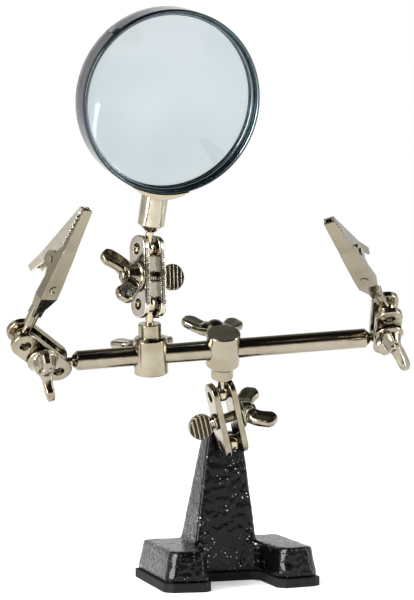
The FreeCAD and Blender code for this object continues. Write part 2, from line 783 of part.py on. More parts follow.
def make_moving_jaw(prefix):
    """The jaw with the thumb lever: a straight-backed channel that rises away from the fixed jaw."""
    name = prefix + "_moving"
    tip, wall, lever = dim("clip_length"), dim("sheet_thickness"), dim("lever_along")
    tip_back, lever_back = -dim("tip_back_height"), -dim("lever_height")
    outline = [(tip_back, tip), (lever_back, lever), (lever_back + 2.4, lever - 0.5),
               (size_of(-4.6), size_of(28.4)), (size_of(-2.0), size_of(32.2)),
               (size_of(-0.1), dim("bite_start")), (size_of(-0.1), tip)]
    inner = [(tip_back + wall + 0.1, tip + 1), (lever_back + wall, lever - 1),
             (size_of(6), lever - 1), (size_of(6), tip + 1)]
    plan = [(lever - 1, size_of(2.75)), (size_of(26.0), size_of(2.05)), (size_of(28.0), size_of(1.75)),
            (dim("bite_start"), size_of(1.7)), (tip, dim("tip_half_width"))]
    channel = folded(name, eared(name, outline, dim("ear_radius") - 0.5), plan, inner)
    tools = [pin_bore(name + "_pin_hole", dim("pin_radius") + dim("pin_fit"))]
    tools += teeth(name, dim("bite_start") + dim("tooth_pitch") / 2, tip, -1)
    return cut(name + "_solid", channel, fuse(name + "_tools", *tools))


def make_pivot_pin(prefix):
    """The rivet that the moving jaw turns on, headed at both ends."""
    name = prefix + "_pin"
    half, head = dim("pin_half_length"), dim("pin_head_thickness")
    drop, pivot = dim("pivot_offset"), dim("pivot_along")
    shank = cylinder(name + "_shank", dim("pin_radius"), (half + head) * 2, x=-half - head, y=-drop,
                     z=pivot, along="x")
    heads = [cylinder(f"{name}_head{i}", dim("pin_head_radius"), head, x=x, y=-drop, z=pivot, along="x")
             for i, x in enumerate((half, -half - head))]
    return fuse(name + "_solid", shank, *heads)


def make_spring(prefix, place):
    """The clip's spring: a short coil of wire round the pivot pin."""
    wire, coil, turns = dim("spring_wire_radius").value, dim("spring_coil_radius").value, 2
    pitch = wire * 2.15
    helix = Part.makeHelix(pitch, pitch * turns, coil)
    section = Part.Wire([Part.Circle(Vector(coil, 0, 0), Vector(0, 1, 0), wire).toShape()])
    spring = doc.addObject("Part::Feature", prefix + "_spring")
    spring.Shape = Part.Wire(helix.Edges).makePipeShell([section], True, True)
    on_pin = Placement(Vector(0, -dim("pivot_offset").value, dim("pivot_along").value), TURN_TO["x"])
    centred = Placement(Vector(0, 0, -pitch * turns / 2), Rotation())
    finish(spring, prefix + "_clip_spring", place.multiply(on_pin).multiply(centred))


# ---------------------------------------------------------------- the whole clamp

def rest_pose():
    """Where every ball and axis of the clamp stands at rest."""
    links = {"base": Link("base", base_ball())}
    block_axis = pointing(angle("block_heading"), angle("block_rise"))
    rod = square_to(block_axis, pointing(angle("rod_heading"), 0))
    rod_centre = links["base"].end + block_axis * dim("block_ball_reach").value

    lens_axis = turned(square_to(rod, Vector(0, 0, 1)), rod, angle("lens_block_lean"))
    lens_centre = rod_centre + rod * dim("lens_block_along").value
    links["lens"] = Link("lens", lens_centre + lens_axis * dim("block_ball_reach").value)
    handle = pointing(angle("handle_heading"), angle("handle_rise"))

    reach = dim("rod_ball_reach").value
    clips = {}
    for name, ball in (("left", rod_centre - rod * reach), ("right", rod_centre + rod * reach)):
        links[name] = Link(name, ball)
        axis = pointing(angle(name + "_clip_heading"), angle(name + "_clip_rise"))
        web = turned(square_to(axis, Vector(0, -1, 0)), axis, angle(name + "_clip_roll"))
        bite = web.cross(axis)
        pivot = links[name].end + axis * dim("pivot_along").value - web * dim("pivot_offset").value
        clips[name] = {"axis": axis, "bite": bite, "pivot": pivot, "open_axis": bite}
    return {
        "links": links, "clips": clips, "base_stud_axis": base_stud_axis(),
        "block_axis": block_axis, "block_back": block_axis.cross(rod), "rod": rod, "rod_centre": rod_centre,
        "lens_axis": lens_axis, "lens_back": lens_axis.cross(rod), "lens_centre": lens_centre,
        "handle": handle, "facing": square_to(handle, pointing(angle("lens_heading"), 0)),
    }


def build():
    pose = rest_pose()
    links, rod = pose["links"], pose["rod"]
    make_base()
    make_stud("base_ball_stud", base_ball(), pose["base_stud_axis"], dim("base_stud_length"))
    make_link(links["base"], ("left", "right"))
    make_block("rod_block", pose["rod_centre"], pose["block_axis"], rod)
    make_rod(pose["rod_centre"], rod)
    make_block("lens_block", pose["lens_centre"], pose["lens_axis"] * -1, rod * -1)
    make_link(links["lens"], ("left", "right"))
    make_magnifier(links["lens"].end, pose["handle"], pose["facing"])
    for name, clip in pose["clips"].items():
        make_link(links[name], ("near", "far"))
        make_clip(name, links[name].end, clip["axis"], clip["bite"])


def export():
    doc.recompute()
    broken = [thing.Name for thing in doc.Objects if "Invalid" in thing.State or "Error" in thing.State]
    if broken:
        raise RuntimeError(f"these objects failed: {broken}")
    os.makedirs("parts", exist_ok=True)
    for node in nodes:
        if node.Shape.isNull() or not node.Shape.isValid():
            raise RuntimeError(f"{node.Label} has no valid shape")
        node.Shape.exportStep(f"parts/{node.Label}.step")


build()
export()
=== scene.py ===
"""Looks of the helping hands clamp: materials, detailed pieces, light and camera. Metres, +Z up."""

import json
import math

import bpy
import numpy as np
from mathutils import Matrix, Vector, noise


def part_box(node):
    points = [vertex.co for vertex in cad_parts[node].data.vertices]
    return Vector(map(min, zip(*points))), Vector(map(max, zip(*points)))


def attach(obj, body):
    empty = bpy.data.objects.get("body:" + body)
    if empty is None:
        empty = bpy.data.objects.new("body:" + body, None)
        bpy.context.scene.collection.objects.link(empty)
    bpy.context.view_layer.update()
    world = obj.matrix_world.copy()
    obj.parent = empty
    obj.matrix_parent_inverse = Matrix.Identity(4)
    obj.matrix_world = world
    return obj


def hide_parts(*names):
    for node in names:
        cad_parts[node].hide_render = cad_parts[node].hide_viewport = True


MM = 0.001
UP = (0, 0, 1)
BACK = (0, 1, 0)

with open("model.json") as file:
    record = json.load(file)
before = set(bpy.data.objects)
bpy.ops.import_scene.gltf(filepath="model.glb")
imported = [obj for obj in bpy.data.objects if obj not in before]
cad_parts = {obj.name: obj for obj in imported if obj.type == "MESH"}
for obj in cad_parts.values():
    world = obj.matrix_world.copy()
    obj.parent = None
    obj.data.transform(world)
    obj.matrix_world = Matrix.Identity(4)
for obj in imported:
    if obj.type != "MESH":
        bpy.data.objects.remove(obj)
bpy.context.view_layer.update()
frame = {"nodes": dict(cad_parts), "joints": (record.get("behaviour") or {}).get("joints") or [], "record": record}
nodes = frame["nodes"]
joints = {j["name"]: j for j in frame["joints"]}
node_body = {n: body for body, members in frame["record"]["behaviour"]["bodies"].items() for n in members}
slot_of = {part["node"]: part["material_slot"] for part in frame["record"]["subparts"]}


# ---------------------------------------------------------------- node helpers

class Graph:
    """A material's or world's node tree, with short ways to add nodes."""

    def __init__(self, tree):
        self.tree = tree
        tree.nodes.clear()

    def node(self, kind, inputs=None, **settings):
        """A node with its settings, and its named inputs fed with values or other nodes' sockets."""
        made = self.tree.nodes.new(kind)
        for name, value in settings.items():
            setattr(made, name, value)
        for name, value in (inputs or {}).items():
            self.feed(made.inputs[name], value)
        return made

    def feed(self, socket, value):
        if isinstance(value, bpy.types.NodeSocket):
            self.tree.links.new(value, socket)
        else:
            socket.default_value = value

    def math(self, operation, a, b):
        made = self.node("ShaderNodeMath", operation=operation)
        self.feed(made.inputs[0], a)
        self.feed(made.inputs[1], b)
        return made.outputs[0]

    def dot(self, a, direction):
        made = self.node("ShaderNodeVectorMath", operation="DOT_PRODUCT")
        self.feed(made.inputs[0], a)
        self.feed(made.inputs[1], tuple(direction))
        return made.outputs["Value"]

    def spread(self, value, low, high, to_low=0.0, to_high=1.0, smooth=False):
        """The value's place between low and high, laid out between to_low and to_high."""
        ends = {"Value": value, "From Min": low, "From Max": high, "To Min": to_low, "To Max": to_high}
        blend = "SMOOTHSTEP" if smooth else "LINEAR"
        return self.node("ShaderNodeMapRange", ends, interpolation_type=blend).outputs["Result"]

    def noise(self, vector, scale, detail=3.0, roughness=0.55):
        """Cloudy noise from 0 to 1, with scale lumps to the metre."""
        inputs = {"Vector": vector, "Scale": scale, "Detail": detail, "Roughness": roughness}
        return self.node("ShaderNodeTexNoise", inputs).outputs["Fac"]

    def mix(self, factor, a, b):
        """Colour a where the factor is 0, and b where it is 1."""
        made = self.node("ShaderNodeMix", data_type="RGBA")
        # The colour sockets share their names with the other kinds', so they go by number.
        first_colour, second_colour, mixed_colour = 6, 7, 2
        self.feed(made.inputs[0], factor)
        self.feed(made.inputs[first_colour], a)
        self.feed(made.inputs[second_colour], b)
        return made.outputs[mixed_colour]

    def bump(self, height, strength, distance, normal=None):
        made = self.node("ShaderNodeBump", {"Strength": strength, "Distance": distance, "Height": height})
        if normal is not None:
            self.feed(made.inputs["Normal"], normal)
        return made.outputs["Normal"]

    def eased(self, radius, samples):
        """The surface's direction as if its edges were rounded to this radius."""
        return self.node("ShaderNodeBevel", {"Radius": radius}, samples=samples).outputs["Normal"]

    def edge_brightening(self, low, high, most):
        """How far a sharp outward edge is lightened, from how sharp it is: on the casting bare iron where paint
        wears thin, on plated metal partly wear and partly a painted highlight.
        """
        sharpness = self.node("ShaderNodeNewGeometry").outputs["Pointiness"]
        return self.spread(sharpness, low, high, 0.0, most)

    def drawn(self, attribute):
        """A value stored at each point of the mesh, 0 where the mesh has none."""
        return self.node("ShaderNodeAttribute", attribute_name=attribute).outputs["Fac"]


def shade(colour):
    return (*colour, 1.0)


def material(name):
    """A new material, its graph, its shader, and where each point is on the object."""
    made = bpy.data.materials.new(name)
    made.use_nodes = True
    graph = Graph(made.node_tree)
    shader = graph.node("ShaderNodeBsdfPrincipled")
    output = graph.node("ShaderNodeOutputMaterial")
    graph.tree.links.new(shader.outputs["BSDF"], output.inputs["Surface"])
    place = graph.node("ShaderNodeTexCoord").outputs["Object"]
    return made, graph, shader, place


# ---------------------------------------------------------------- materials

WARM = (0.265, 0.238, 0.180)
TARNISH = (0.165, 0.130, 0.078)

# Painted shade in recesses is this share of the tarnish's brightness, and sharp edges, partly polish and partly a
# painted highlight, this many times the base's.
SHADE_SHARE = 0.16
POLISH_AND_HIGHLIGHT = 1.6

# How many lumps of each kind there are to the metre.
CLOUDS = 130.0
SMUDGES = 420.0
RIPPLES = 260.0
PITS = 2600.0
TOOL_MARKS = 5200.0
DIMPLES = 520.0
SPECKS = 880.0
SPECK_PATCHES = 170.0
PAINT_GRAIN = 1500.0
SCUFFS = 300.0
RUBBER_GRAIN = 1800.0
PAINTED_REFLECTIONS = 24.0
FILM = 60.0


def plated(name, base, tarnish, smoothest, roughest, *, axis=None, pits=0.25, edge=0.25, ease=0.22 * MM,
           recess_shading=0.9, inside=None):
    """Plated metal: cloudy tarnish, painted shade in recesses and grooves, fine pits, edges lightened partly by
    wear and partly as a painted highlight, and tool marks round a turned piece's axis."""
    made, graph, shader, place = material(name)
    cloud = graph.noise(place, CLOUDS, 4.0)
    smudge = graph.noise(place, SMUDGES, 5.0)
    # Sharp edges lighter: partly worn plating, partly a painted highlight.
    worn = graph.edge_brightening(0.53, 0.62, edge)
    stain = graph.spread(cloud, 0.42, 0.72, to_high=0.75)
    colour = graph.mix(stain, shade(base), shade(tarnish))
    # Painted shade: darker where ambient occlusion finds nearby surfaces, in recesses and between parts, and down
    # the thumb heads' grooves.
    openness = graph.node("ShaderNodeAmbientOcclusion", {"Distance": 2.2 * MM}, samples=6).outputs["AO"]
    painted_shade = graph.spread(openness, 0.25, 0.78, recess_shading, 0.0)
    painted_shade = graph.math("MAXIMUM", painted_shade, graph.drawn("groove"))
    colour = graph.mix(painted_shade, colour, shade(tuple(c * SHADE_SHARE for c in tarnish)))
    if inside is not None:
        colour = graph.mix(graph.drawn("inside"), colour, shade(inside))
    polished_and_highlit = shade(tuple(min(1.0, c * POLISH_AND_HIGHLIGHT) for c in base))
    graph.feed(shader.inputs["Base Color"], graph.mix(worn, colour, polished_and_highlit))
    shader.inputs["Metallic"].default_value = 1.0
    graph.feed(shader.inputs["Roughness"], graph.spread(smudge, 0.3, 0.75, smoothest, roughest))
    normal = graph.eased(ease, samples=6)
    normal = graph.bump(graph.noise(place, PITS, 2.0), pits, 0.06 * MM, normal)
    normal = graph.bump(graph.noise(place, RIPPLES, 2.0), 0.22, 0.5 * MM, normal)
    if axis is not None:
        settings = {"W": graph.dot(place, [c * TOOL_MARKS for c in axis]), "Scale": 1.0, "Detail": 3.0}
        marks = graph.node("ShaderNodeTexNoise", settings, noise_dimensions="1D").outputs["Fac"]
        normal = graph.bump(marks, 0.16, 0.05 * MM, normal)
    graph.feed(shader.inputs["Normal"], normal)
    return made


def clip_plated(name, base, tarnish):
    """The clips' sheet metal: smoother than the castings, and lighter along its cut edges, partly worn and partly
    a painted highlight.
    """
    return plated(name, base, tarnish, 0.08, 0.18, pits=0.08, edge=0.6, recess_shading=0.6)


def turned_plated(name, axis):
    """A block turned on a lathe."""
    return plated(name, WARM, TARNISH, 0.07, 0.15, axis=axis, pits=0.15)


def hammertone(name):
    """Thick black paint on cast iron: dimples, glossy skin, and bright specks where it is thin."""
    paint, iron = (0.0012, 0.0012, 0.0015), (0.62, 0.62, 0.60)
    made, graph, shader, place = material(name)
    dimples = graph.noise(place, DIMPLES, 3.0, 0.6)
    grains = graph.node("ShaderNodeTexVoronoi", {"Vector": place, "Scale": SPECKS})
    near_foot = graph.spread(graph.dot(place, UP), 45 * MM, 12 * MM, -0.06, 0.06)
    chosen = graph.math("ADD", graph.noise(place, SPECK_PATCHES, 2.0), near_foot)
    off_toes = graph.spread(graph.dot(place, BACK), -17 * MM, -11 * MM, 0.15, 1.0)
    speck = graph.spread(grains.outputs["Distance"], 0.27, 0.12, smooth=True)
    speck = graph.math("MULTIPLY", speck, graph.spread(chosen, 0.54, 0.64))
    speck = graph.math("MULTIPLY", speck, off_toes)
    worn = graph.edge_brightening(0.62, 0.74, 0.5)
    broken = graph.math("MULTIPLY", worn, graph.spread(dimples, 0.45, 0.65))
    bare = graph.math("MAXIMUM", speck, broken)
    graph.feed(shader.inputs["Base Color"], graph.mix(bare, shade(paint), shade(iron)))
    graph.feed(shader.inputs["Metallic"], graph.math("MULTIPLY", bare, 0.8))
    graph.feed(shader.inputs["Roughness"], graph.spread(dimples, 0.3, 0.7, 0.06, 0.15))
    shader.inputs["Specular IOR Level"].default_value = 0.05
    shader.inputs["Coat Weight"].default_value = 0.26
    shader.inputs["Coat Roughness"].default_value = 0.05
    normal = graph.eased(2.6 * MM, samples=10)
    normal = graph.bump(dimples, 0.9, 0.9 * MM, normal)
    normal = graph.bump(graph.noise(place, PAINT_GRAIN, 2.0), 0.35, 0.25 * MM, normal)
    graph.feed(shader.inputs["Normal"], normal)
    return made


def rubber(name):
    """Matt black rubber with paler scuffs."""
    clean, scuffed = (0.004, 0.004, 0.004), (0.016, 0.016, 0.016)
    made, graph, shader, place = material(name)
    scuff = graph.noise(place, SCUFFS, 5.0)
    colour = graph.mix(graph.spread(scuff, 0.5, 0.8), shade(clean), shade(scuffed))
    graph.feed(shader.inputs["Base Color"], colour)
    graph.feed(shader.inputs["Roughness"], graph.spread(scuff, 0.3, 0.7, 0.62, 0.9))
    shader.inputs["Specular IOR Level"].default_value = 0.2
    graph.feed(shader.inputs["Normal"], graph.bump(graph.noise(place, RUBBER_GRAIN, 3.0), 0.5, 0.2 * MM))
    return made


def glass(name):
    """Grey-green glass with broad faint paler patches in its tint, a painted reflection, and a thin uneven film.
    """
    pale, deep = (0.650, 0.715, 0.735), (0.570, 0.650, 0.675)
    made, graph, shader, place = material(name)
    film = graph.noise(place, FILM, 5.0)
    # Painted reflection: broad soft patches where the tint turns paler.
    painted_reflection = graph.spread(graph.noise(place, PAINTED_REFLECTIONS, 1.0), 0.38, 0.62, smooth=True)
    shader.inputs["Transmission Weight"].default_value = 1.0
    shader.inputs["IOR"].default_value = 1.46
    graph.feed(shader.inputs["Base Color"], graph.mix(painted_reflection, shade(pale), shade(deep)))
    graph.feed(shader.inputs["Roughness"], graph.spread(film, 0.45, 0.8, 0.0, 0.035))
    graph.feed(shader.inputs["Normal"], graph.bump(film, 0.03, 0.1 * MM))
    return made


# ---------------------------------------------------------------- meshes

def piece(node, ending, verts, faces, made_of, **values):
    """A finished mesh that stands for a CAD node and rides on its body. Its points keep any named values."""
    name = node + ending
    mesh = bpy.data.meshes.new(name)
    mesh.from_pydata([tuple(v) for v in verts], [], faces)
    for attribute, value in values.items():
        mesh.attributes.new(attribute, "FLOAT", "POINT").data.foreach_set("value", value)
    mesh.validate()
    thing = bpy.data.objects.new(name, mesh)
    bpy.context.scene.collection.objects.link(thing)
    mesh.materials.append(made_of)
    mesh.shade_smooth()
    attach(thing, node_body[node])
    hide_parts(node)
    return thing


def joined(*parts):
    """The given (verts, faces) meshes side by side in one."""
    verts, faces = [], []
    for part_verts, part_faces in parts:
        start = len(verts)
        verts += [tuple(v) for v in part_verts]
        faces += [[i + start for i in face] for face in part_faces]
    return verts, faces


def fused(name, parts, voxel, rounds, shape=None):
    """Several closed meshes merged into one skin, smoothed, and raised at each point by shape, if given."""
    verts, faces = joined(*parts)
    mesh = bpy.data.meshes.new(name + "_rough")
    mesh.from_pydata(verts, [], faces)
    thing = bpy.data.objects.new(name + "_rough", mesh)
    bpy.context.scene.collection.objects.link(thing)
    remesh = thing.modifiers.new("skin", "REMESH")
    remesh.mode = "VOXEL"
    remesh.voxel_size = voxel
    soften = thing.modifiers.new("soften", "SMOOTH")
    soften.iterations = rounds
    soften.factor = 0.5
    bpy.context.view_layer.update()
    evaluated = thing.evaluated_get(bpy.context.evaluated_depsgraph_get())
    made = bpy.data.meshes.new_from_object(evaluated)
    out = [v.co.copy() for v in made.vertices]
    normals = [v.normal.copy() for v in made.vertices]
    out_faces = [list(p.vertices) for p in made.polygons]
    bpy.data.objects.remove(thing)
    bpy.data.meshes.remove(mesh)
    bpy.data.meshes.remove(made)
    if shape is not None:
        out = [v + n * shape(v) for v, n in zip(out, normals)]
    return out, out_faces


def moved(part, matrix):
    verts, faces = part
    return [matrix @ Vector(v) for v in verts], faces


def stacked(rings, segments, closed=False):
    """The faces between rings, each given as its first point and its count: 1 on the axis, else segments."""
    faces = []
    following = rings[1:] + (rings[:1] if closed else [])
    for (low, low_count), (high, high_count) in zip(rings, following):
        for i in range(segments):
            j = (i + 1) % segments
            if low_count == 1:
                faces.append([low, high + j, high + i])
            elif high_count == 1:
                faces.append([low + i, low + j, high])
            else:
                faces.append([low + i, low + j, high + j, high + i])
    return faces


def tube(loops, count):
    """The sides and ends of a solid drawn as a row of loops of count points."""
    last = (loops - 1) * count
    sides = stacked([(k * count, count) for k in range(loops)], count)
    return sides + [list(reversed(range(count))), [last + i for i in range(count)]]


def revolve(profile, segments=72, closed=False):
    """Turn a (radius, z) profile about Z. An open profile starts and ends on the axis; a closed one loops."""
    verts, rings = [], []
    for radius, z in profile:
        count = segments if radius > 0 else 1
        rings.append((len(verts), count))
        for i in range(count):
            turn = 2 * math.pi * i / segments
            verts.append((radius * math.cos(turn), radius * math.sin(turn), z))
    return verts, stacked(rings, segments, closed)


def scaled(profile):
    return [(r * MM, z * MM) for r, z in profile]


# ---------------------------------------------------------------- places read from the frame

def points(node):
    return np.array([v.co for v in nodes[node].data.vertices], float)


def axes_at(x, y, z, origin):
    """The matrix that takes a shape drawn about the origin to this place and these axes."""
    return Matrix((*((a, b, c, o) for a, b, c, o in zip(x, y, z, origin)), (0, 0, 0, 1)))


def spread_frame(node, origin, axis, beyond=-math.inf):
    """A place at origin with its Z along axis, towards the node, and its X along the widest spread of the
    node's points beyond a height."""
    origin, z = Vector(origin), Vector(axis).normalized()
    cloud = points(node) - np.array(origin)
    if (cloud @ np.array(z)).mean() < 0:
        z = -z
    cloud = cloud[cloud @ np.array(z) > beyond]
    u = z.orthogonal().normalized()
    v = z.cross(u)
    a, b = cloud @ np.array(u), cloud @ np.array(v)
    turn = 0.5 * math.atan2(2 * np.cov(a, b)[0, 1], a.var() - b.var())
    x = u * math.cos(turn) + v * math.sin(turn)
    return axes_at(x, z.cross(x), z, origin)


# ---------------------------------------------------------------- wing nuts and wing screws

# A wing's middle line, half width and half thickness, in mm, and how they change from root to tip.
WING_ROOT = Vector((1.6, 0, 3.1))
WING_TIP = Vector((7.5, 0, 7.7))
WING_TIP_RADIUS = 3.6
WING_ROOT_WIDTH = 2.7
WING_FLARE = 0.9
WING_THICKNESS = 2.3
WING_THINNING = 0.35
WING_TIP_THINNING = 0.45
WING_SAG = 0.75
WING_DISH = 0.30
WING_DISH_START = 0.35
WING_VOXEL = 0.19
WING_SMOOTHING = 5
WING_SCREW_LIFT = 10.3


def wing(sign, lift):
    """One ear of a wing nut in the XZ plane: narrow at the root, round and dished at the tip."""
    along = (WING_TIP - WING_ROOT).normalized()
    across = Vector((-along.z, 0, along.x))
    length = (WING_TIP - WING_ROOT).length
    stations = [0.0, 1.2, 2.4, 3.6, 4.8, 6.0, 7.2] + [length + past for past in (0.0, 1.2, 2.2, 2.9, 3.3)]
    face_points = 9
    verts = []
    for s in stations:
        share = min(1.0, s / length)
        wide = WING_ROOT_WIDTH + WING_FLARE * share ** 1.1
        thick = WING_THICKNESS - WING_THINNING * share
        if s > length:
            wide = math.sqrt(WING_TIP_RADIUS ** 2 - (s - length) ** 2)
            thick *= 1 - WING_TIP_THINNING * (1 - wide / WING_TIP_RADIUS)
        middle = WING_ROOT + along * s - across * (WING_SAG * math.sin(math.pi * share))
        dish = WING_DISH if share > WING_DISH_START else 0.0
        ring = []
        for i in range(face_points):
            v = -math.cos(math.pi * i / (face_points - 1))
            hollow = 1 - dish * (1 - v * v)
            ring.append((v, thick * hollow * math.sqrt(1 - abs(v) ** 5)))
        ring += [(v, -y) for v, y in reversed(ring[1:-1])]
        for v, y in ring:
            p = middle + across * (wide * v)
            verts.append(Vector((p.x * sign, y, p.z + lift)) * MM)
    faces = tube(len(stations), len(ring))
    if sign < 0:
        faces = [list(reversed(face)) for face in faces]
    return verts, faces


def make_winged(node, place, parts, made_of, lift=0.0):
    """A hub with a pair of wings, cast in one piece."""
    skin = fused(node, [*parts, wing(1, lift), wing(-1, lift)], WING_VOXEL * MM, WING_SMOOTHING)
    verts, faces = moved(skin, place)
    piece(node, "_shaped", verts, faces, made_of)


def make_wing_nut(link, made_of):
    """A wing nut with a flanged hub, its foot where the CAD nut's is."""
    node = link + "_wing_nut"
    turn = joints[link + "_nut_turn"]
    place = spread_frame(node, turn["pos_m"], turn["axis"])
    height = (points(node) - np.array(place.translation)) @ np.array(place.col[2][:3])
    place = place @ Matrix.Translation((0, 0, float(height.min())))
    hub = revolve(scaled([
        (2.0, 0.0), (4.9, 0.0), (5.25, 0.3), (5.25, 0.85), (4.95, 1.15), (4.5, 1.4), (4.1, 1.9), (3.75, 3.2),
        (3.4, 4.5), (3.1, 5.05), (2.7, 5.25), (2.2, 5.2), (2.0, 5.0),
    ]), closed=True)
    make_winged(node, place, [hub], made_of)


def make_wing_screw(block, made_of):
    """A block's locking screw: a shank, a waisted hub and wings."""
    node = block + "_wing_screw"
    turn = joints[block + "_screw_turn"]
    place = spread_frame(node, turn["pos_m"], turn["axis"])
    shank = revolve(scaled([(0, 3.5), (1.9, 3.5), (1.95, 3.7), (1.95, 8.5), (0, 8.5)]))
    hub = revolve(scaled([
        (0, 7.4), (2.4, 7.4), (2.75, 7.7), (3.15, 10.2), (3.7, 12.4), (3.85, 13.5), (3.6, 14.9), (2.9, 16.1),
        (1.7, 16.85), (0.8, 17.0), (0, 17.0),
    ]))
    make_winged(node, place, [shank, hub], made_of, WING_SCREW_LIFT)


# ---------------------------------------------------------------- clamp screws

# In mm, and along the screw from the middle of its link. A groove's width, and its two slopes together, are
# shares of its pitch, and painted shade darkens it with depth from just below the face.
THUMB_RADIUS = 4.5
THUMB_HALF = 1.2
THUMB_CENTRE = -9.75
THUMB_RIM = 0.14
GROOVE_PITCH = 1.55
GROOVE_DEPTH = 0.62
GROOVE_WIDTH = 0.68
GROOVE_SLOPE = 0.20
DARK_FROM = 0.05
DARK_OVER = 0.5
HEAD_START = 6.0
SHANK_RADIUS = 1.85
THREAD_DEPTH = 0.28
THREAD_PITCH = 0.75
SHANK_START = -3.6
SHANK_END = 10.75


def clamped(value):
    """The value kept between 0 and 1."""
    return max(0.0, min(1.0, value))


def thumb_head():
    """A flat round head on edge, its disc square to Y and grooved across both faces, and the painted shade at
    each point, darker the further it is down a groove."""
    rings, segments = 34, 112
    radius, half = THUMB_RADIUS, THUMB_HALF
    profile = [(radius * k / rings, half) for k in range(rings - 2)]
    profile += [(radius - 0.28, half), (radius - 0.1, half - 0.1), (radius, half - 0.3), (radius, 0.0)]
    verts, loops, groove_shade = [], [], []
    for side in (1, -1):
        for r, y in (profile if side > 0 else reversed(profile[:-1])):
            count = segments if r > 0 else 1
            loops.append((len(verts), count))
            for i in range(count):
                turn = 2 * math.pi * i / segments
                x, z = r * math.cos(turn), r * math.sin(turn)
                share = abs((z / GROOVE_PITCH) % 1.0 - 0.5) * 2
                cutting = clamped((GROOVE_WIDTH - share) / GROOVE_SLOPE) if r < radius else 0.0
                depth = GROOVE_DEPTH * cutting
                verts.append(Vector((x, side * (y - depth), z + THUMB_CENTRE)) * MM)
                below = half - abs(y - depth)
                groove_shade.append(clamped((below - DARK_FROM) / DARK_OVER) if r < radius - THUMB_RIM else 0.0)
    faces = [list(reversed(face)) for face in stacked(loops, segments)]
    return (verts, faces), groove_shade


def threaded_shank():
    """The shank along Z: helical ridges between a bevelled start and end."""
    segments, loops_per_turn = 40, 8
    length = SHANK_END - SHANK_START
    steps = int(length / THREAD_PITCH * loops_per_turn)
    verts = []
    for k in range(steps + 1):
        z = SHANK_START + length * k / steps
        ease = min(1.0, (SHANK_END - z) / (THREAD_PITCH * 0.8), (z - SHANK_START) / (THREAD_PITCH * 0.5))
        for i in range(segments):
            share = (z / THREAD_PITCH - i / segments) % 1.0
            ridge = 1 - abs(share * 2 - 1)
            r = SHANK_RADIUS - THREAD_DEPTH * (1 - ridge * max(0.0, ease))
            turn = 2 * math.pi * i / segments
            verts.append((r * math.cos(turn) * MM, r * math.sin(turn) * MM, z * MM))
    return verts, tube(steps + 1, segments)


def make_clamp_screw(link, made_of):
    """A screw with a grooved thumb head, a necked collar and a threaded shank, lined up with its wing nut."""
    node = link + "_clamp_screw"
    turn = joints[link + "_nut_turn"]
    nut = spread_frame(link + "_wing_nut", turn["pos_m"], turn["axis"])
    axis = Vector(nut.col[2][:3])
    head_side = spread_frame(node, turn["pos_m"], -axis, beyond=HEAD_START * MM)
    side = Vector(head_side.col[0][:3])
    place = axes_at(side, axis.cross(side), axis, turn["pos_m"])
    head, groove_shade = thumb_head()
    collar = revolve(scaled([
        (0, -6.6), (1.5, -6.6), (1.75, -6.3), (1.85, -5.6), (2.3, -5.25), (2.8, -5.15), (2.9, -4.95),
        (2.9, -4.5), (2.75, -4.37), (1.6, -4.36), (1.55, -3.6), (1.45, -3.3), (0, -3.3),
    ]))
    verts, faces = moved(joined(head, collar, threaded_shank()), place)
    # Painted shade down the head's grooves, none on the collar and shank.
    groove = groove_shade + [0.0] * (len(verts) - len(groove_shade))
    piece(node, "_shaped", verts, faces, made_of, groove=groove)


# ---------------------------------------------------------------- casting

# In mm, but for the rounds of smoothing and the lumps to the metre.
CASTING_VOXEL = 0.42
CASTING_SMOOTHING = 36
HAMMER_LUMPS = 420.0
HAMMER_HEIGHT = 0.10
PLAIN_BELOW = 3.4


def hammered(v):
    """How far the casting's skin rises at a point: broad lumps with finer, lower ones on them."""
    if v.z < PLAIN_BELOW * MM:
        return 0.0
    p = v * HAMMER_LUMPS
    finer, lower = 2.3, 0.5
    return HAMMER_HEIGHT * MM * (noise.noise(p) + lower * noise.noise(p * finer))


def make_casting(made_of):
    """The casting with softened edges and a hammered skin, from the same solid."""
    source = nodes["base_casting"].data
    welded, seen, index = [], {}, []
    for vertex in source.vertices:
        key = tuple(round(c, 6) for c in vertex.co)
        if key not in seen:
            seen[key] = len(welded)
            welded.append(vertex.co.copy())
        index.append(seen[key])
    faces = [[index[i] for i in polygon.vertices] for polygon in source.polygons]
    faces = [face for face in faces if len(set(face)) == len(face)]
    verts, faces = fused("base_casting", [(welded, faces)], CASTING_VOXEL * MM, CASTING_SMOOTHING, hammered)
    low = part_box("base_casting")[0].z
    verts = [Vector((v.x, v.y, max(v.z, low))) for v in verts]
    piece("base_casting", "_painted", verts, faces, made_of)


# ---------------------------------------------------------------- magnifier's rim

RIM_WALL = 0.8 * MM
RIM_EASE = 0.22 * MM
SEAM_START = math.radians(134)
SEAM_END = math.radians(139)


def lap_strip(outer, half):
    """The rim's outer end, a low strip that rises out of the rim at one edge and steps down at the other."""
    wide = half - 0.15 * MM
    under, over, crown = outer - 0.05 * MM, outer + 0.12 * MM, outer + 0.14 * MM
    section = [(under, -wide), (over, -wide + RIM_EASE), (crown, 0.0), (over, wide - RIM_EASE), (under, wide)]
    steps = 18
    verts = []
    for k in range(steps + 1):
        turn = SEAM_START + (SEAM_END - SEAM_START) * k / steps
        sink = 0.11 * MM if k == 0 else 0.0
        for r, along in section:
            verts.append(((r - sink) * math.cos(turn), (r - sink) * math.sin(turn), along))
    return verts, tube(steps + 1, len(section))


